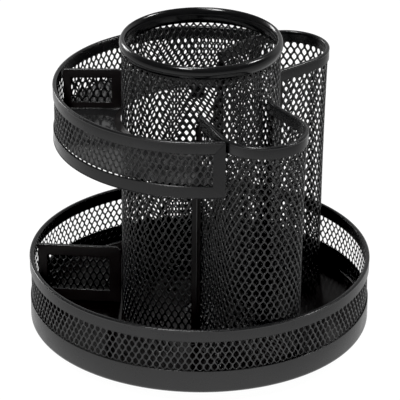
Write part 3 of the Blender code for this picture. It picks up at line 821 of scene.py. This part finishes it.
# r, z, corner radius
TOP_RACE = [
    (3.6, 7.6, .1), (34.6, 7.6, .3), (35.4, 7.4, .3), (40.6, 7.4, .3), (41.4, 7.6, .3),
    (50.0, 7.6, .3), (50.6, 6.4, .2), (51.4, 6.4, .2), (51.2, 7.9, .3), (50.6, 8.5, .5),
    (3.6, 8.5, .1)]
WASHER = [(3.4, 8.8, .1), (7.2, 8.8, .15), (7.2, 9.4, .15), (3.4, 9.4, .1)]
BASE_RACE = [
    (3.3, 2.3, .1), (56.6, 2.3, 1.2), (58.6, 3.2, 1.2), (58.6, 5.2, .2), (58.0, 5.2, .2),
    (57.6, 3.3, .8), (56.0, 3.1, .4), (41.4, 3.1, .3), (40.6, 3.8, .3), (35.4, 3.8, .3),
    (34.6, 3.1, .3), (3.3, 3.1, .1)]
# r, z
PAN_RIVET = [
    (0, 6.3), (1.2, 6.32), (2.2, 6.42), (2.8, 6.62), (3.15, 6.9), (3.2, 7.3), (1.8, 7.3),
    (1.8, FLOOR_Z + 0.3), (3.4, FLOOR_Z + 0.3), (3.35, FLOOR_Z + 0.6), (3.0, FLOOR_Z + 0.95),
    (2.4, FLOOR_Z + 1.18), (1.2, FLOOR_Z + 1.29), (0, FLOOR_Z + 1.3)]
PIVOT_RIVET = [
    (0, 1.0), (3.2, 1.0), (5.0, 1.08), (5.45, 1.3), (5.6, 1.6), (5.6, 2.0), (3.0, 2.0),
    (3.0, 9.7), (5.6, 9.7), (5.55, 9.95), (5.2, 10.35), (4.4, 10.75), (3.0, 11.0),
    (1.4, 11.09), (0, 11.1)]
RUBBER_FOOT = [
    (0, 0.35), (2.2, 0.35), (2.5, 0.0), (4.5, 0.0), (4.9, 0.12), (5.14, 0.42), (5.2, 0.8),
    (5.2, 1.5), (5.05, 1.85), (4.8, 2.0), (0, 2.0)]


def rivet(name, profile, steps, replaces, **place):
    """Zinc rivet whose head in the tray has the floor's coat."""
    ob = turned(name, profile, ZINC, steps, replaces, slot="zinc", **place)
    repaint(ob, FLOOR, lambda face: face.center.z / MM > FLOOR_Z + 0.05)


def ball_cage():
    """Flat ring of equal sectors, each with a round pocket for a ball."""
    bm = bmesh.new()
    count = 64                   # points round a pocket
    half = math.pi / BALLS
    # (radius, angle) round the pocket, and the sector's outline in the same directions
    pocket, outline = [], []
    for k in range(count):
        c, s = polar(1.0, 2 * math.pi * k / count)
        reach = max(abs(c), abs(s))
        pocket.append((RACE_R + POCKET_R * c, POCKET_R * s / RACE_R))
        outline.append((RACE_R + c / reach * CAGE_HALF_W, s / reach * half))
    for ball in range(BALLS):
        middle = 2 * math.pi * ball / BALLS
        low_in, low_out, high_in, high_out = (
            [bm.verts.new(Vector((*polar(r, middle + t), z)) * MM) for r, t in line]
            for z in (CAGE_BOTTOM, CAGE_TOP) for line in (pocket, outline))
        for k in range(count):
            q = (k + 1) % count
            bm.faces.new((high_out[k], high_out[q], high_in[q], high_in[k]))
            bm.faces.new((low_out[q], low_out[k], low_in[k], low_in[q]))
            bm.faces.new((low_in[k], high_in[k], high_in[q], low_in[q]))
            # no wall where the sector joins its neighbour
            t0, t1 = outline[k][1], outline[q][1]
            if min(abs(t0), abs(t1)) < half - 1e-9 or t0 * t1 <= 0:
                bm.faces.new((low_out[q], high_out[q], high_out[k], low_out[k]))
    bmesh.ops.remove_doubles(bm, verts=bm.verts, dist=2e-6)
    bmesh.ops.recalc_face_normals(bm, faces=bm.faces)
    name = "ball_cage_ring"
    add_part(name, bpy.data.meshes.new(name), bm, NYLON, "ball_cage", "cage", "nylon")


revolve("swivel_top_race", fillet(TOP_RACE, 3), ZINC, 144, "swivel_top_plate", slot="zinc",
        angle=40)
for i in range(4):
    rivet(f"pan_rivet_turned_{i + 1}", PAN_RIVET, 40, f"pan_rivet_{i + 1}",
          center=polar(RIVET_RING_R, math.radians(35 + 90 * i)))
revolve("pivot_washer_turned", fillet(WASHER, 2), ZINC, 64, "pivot_washer", slot="zinc")
revolve("swivel_base_race", fillet(BASE_RACE, 3), ZINC, 160, "swivel_base_plate", body="base",
        slot="zinc", angle=40)
rivet("pivot_rivet_turned", PIVOT_RIVET, 64, "pivot_rivet", body="base")
for i in range(4):
    turned(f"rubber_foot_{i + 1}", RUBBER_FOOT, RUBBER, 48, f"foot_{i + 1}", body="base",
           slot="rubber", center=polar(FOOT_RING_R, math.radians(45 + 90 * i)))
ball_cage()
ball_arc = [polar(BALL_R, math.radians(-90 + 180 * k / 16)) for k in range(1, 16)]
ball_profile = [(0, BALL_Z - BALL_R), *((r, BALL_Z + z) for r, z in ball_arc),
                (0, BALL_Z + BALL_R)]
for i in range(BALLS):
    turned(f"bearing_ball_{i + 1:02d}", ball_profile, STEEL, 28, f"ball_{i + 1:02d}",
           body="cage", slot="steel", center=polar(RACE_R, 2 * math.pi * i / BALLS))


# ---------------------------------------------------------------- stage, in metres
def floor_material():
    """Almost white with a faint shadow to the lens, a glow that varies over the floor to the
    object, and clear from below."""
    material = bpy.data.materials.new("pale_floor")
    material.use_nodes = True
    nt = material.node_tree
    nt.nodes.clear()
    out = nt.nodes.new("ShaderNodeOutputMaterial")
    rays = nt.nodes.new("ShaderNodeLightPath")
    diffuse = node(nt, "ShaderNodeBsdfDiffuse", Color=(0.9, 0.9, 0.9, 1))
    glow = node(nt, "ShaderNodeEmission", Color=(1, 1, 1, 1), Strength=1.06)
    seen = mix_shaders(nt, 0.93, diffuse.outputs[0], glow.outputs[0])

    geometry = nt.nodes.new("ShaderNodeNewGeometry")
    position = geometry.outputs["Position"]
    length = node(nt, "ShaderNodeVectorMath", position)
    length.operation = "LENGTH"
    distance = length.outputs["Value"]
    unit = node(nt, "ShaderNodeVectorMath", position)
    unit.operation = "NORMALIZE"
    heading = node(nt, "ShaderNodeSeparateXYZ", unit.outputs["Vector"])
    x, y = heading.outputs["X"], heading.outputs["Y"]

    # the glow fades outwards, and is weaker at the sides than in front and behind
    side_glow = 0.67
    fade = map_range(nt, distance, span=(0.10, 0.75), to=(1.12, 0.50))
    front = map_range(nt, y, span=(-0.92, -0.2), to=(1.0, side_glow))
    behind = map_range(nt, y, span=(0.45, 0.92), to=(side_glow, 1.0))
    strength = combine(nt, "MULTIPLY", fade, combine(nt, "MAXIMUM", front, behind))
    # and is lifted far out on the left
    left = map_range(nt, x, span=(-0.25, -0.75), to=(0.0, 1.0))
    away = map_range(nt, distance, span=(0.16, 0.38), to=(0.0, 1.0))
    lift = map_range(nt, combine(nt, "MULTIPLY", left, away), span=(0.0, 1.0), to=(1.0, 1.30))
    strength = combine(nt, "MULTIPLY", strength, lift)
    bounce = node(nt, "ShaderNodeEmission", Color=(1, 1, 1, 1), Strength=strength)

    above = mix_shaders(nt, rays.outputs["Is Camera Ray"], bounce.outputs[0], seen)
    clear = nt.nodes.new("ShaderNodeBsdfTransparent")
    fill(nt, out, Surface=mix_shaders(nt, geometry.outputs["Backfacing"], above,
                                      clear.outputs[0]))
    return material


def floor():
    half = 9.0
    material = floor_material()
    mesh = bpy.data.meshes.new("floor")
    mesh.from_pydata([(-half, -half, 0), (half, -half, 0), (half, half, 0), (-half, half, 0)],
                     [], [(0, 1, 2, 3)])
    mesh.materials.append(material)
    ob = bpy.data.objects.new("floor", mesh)
    bpy.context.scene.collection.objects.link(ob)
    ob.location.z = -0.0003


def studio():
    """White backdrop to the lens; to the object a dim room with a bright low band behind."""
    world = bpy.data.worlds.new("studio")
    bpy.context.scene.world = world
    world.use_nodes = True
    nt = world.node_tree
    room = nt.nodes["Background"]
    place = nt.nodes.new("ShaderNodeTexCoord")
    heading = node(nt, "ShaderNodeSeparateXYZ", place.outputs["Generated"])
    behind = map_range(nt, heading.outputs["Y"], span=(0.0, 0.7), to=(0.0, 1.0), smooth=True)
    low = map_range(nt, heading.outputs["Z"], span=(0.38, 0.66), to=(1.0, 0.0), smooth=True)
    band = combine(nt, "MULTIPLY", behind, low)
    fill(nt, room, Color=(1, 1, 1, 1),
         Strength=map_range(nt, band, span=(0.0, 1.0), to=(0.07, 0.52)))
    white = node(nt, "ShaderNodeBackground", Color=(1, 1, 1, 1), Strength=1.05)
    rays = nt.nodes.new("ShaderNodeLightPath")
    fill(nt, nt.nodes["World Output"],
         Surface=mix_shaders(nt, rays.outputs["Is Camera Ray"], room.outputs[0],
                             white.outputs[0]))


def area(name, place, power, size, size_y=None, target_z=0.08):
    """Area light aimed at a point on the axis."""
    light = bpy.data.lights.new(name, "AREA")
    light.energy = power
    light.size = size
    if size_y:
        light.shape = "RECTANGLE"
        light.size_y = size_y
    ob = bpy.data.objects.new(name, light)
    bpy.context.scene.collection.objects.link(ob)
    ob.location = place
    ob.rotation_mode = "QUATERNION"
    aim = Vector((0, 0, target_z)) - Vector(place)
    ob.rotation_quaternion = aim.to_track_quat("-Z", "Y")


def camera():
    lens = bpy.data.cameras.new("camera")
    lens.sensor_width = 36.0
    lens.lens = 262.26
    lens.shift_x, lens.shift_y = 0.00012, 0.013755
    lens.clip_start, lens.clip_end = 0.05, 60
    ob = bpy.data.objects.new("camera", lens)
    bpy.context.scene.collection.objects.link(ob)
    elevation, roll = math.radians(25.726), math.radians(0.4334)
    distance, target = 1.70233, Vector((0, 0, 0.077))
    place = target + Vector((0, -distance * math.cos(elevation),
                             distance * math.sin(elevation)))
    ob.matrix_world = (Matrix.Translation(place)
                       @ Matrix.Rotation(math.pi / 2 - elevation, 4, "X")
                       @ Matrix.Rotation(roll, 4, "Z"))
    bpy.context.scene.camera = ob


def grading():
    view = bpy.context.scene.view_settings
    view.view_transform = "Standard"
    view.look = "None"
    view.use_curve_mapping = True
    view.curve_mapping.black_level = (0.004, 0.004, 0.004)
    view.curve_mapping.update()


floor()
studio()
area("key", place=(-0.45, -0.85, 1.30), power=13.0, size=0.32)
area("overhead", place=(-0.10, -0.03, 1.50), power=7.0, size=0.18)
area("side", place=(1.08, 0.10, 1.12), power=9.0, size=0.26)
area("left_edge", place=(-1.05, 1.02, 0.62), power=7.5, size=0.36, size_y=0.60, target_z=0.14)
camera()
grading()
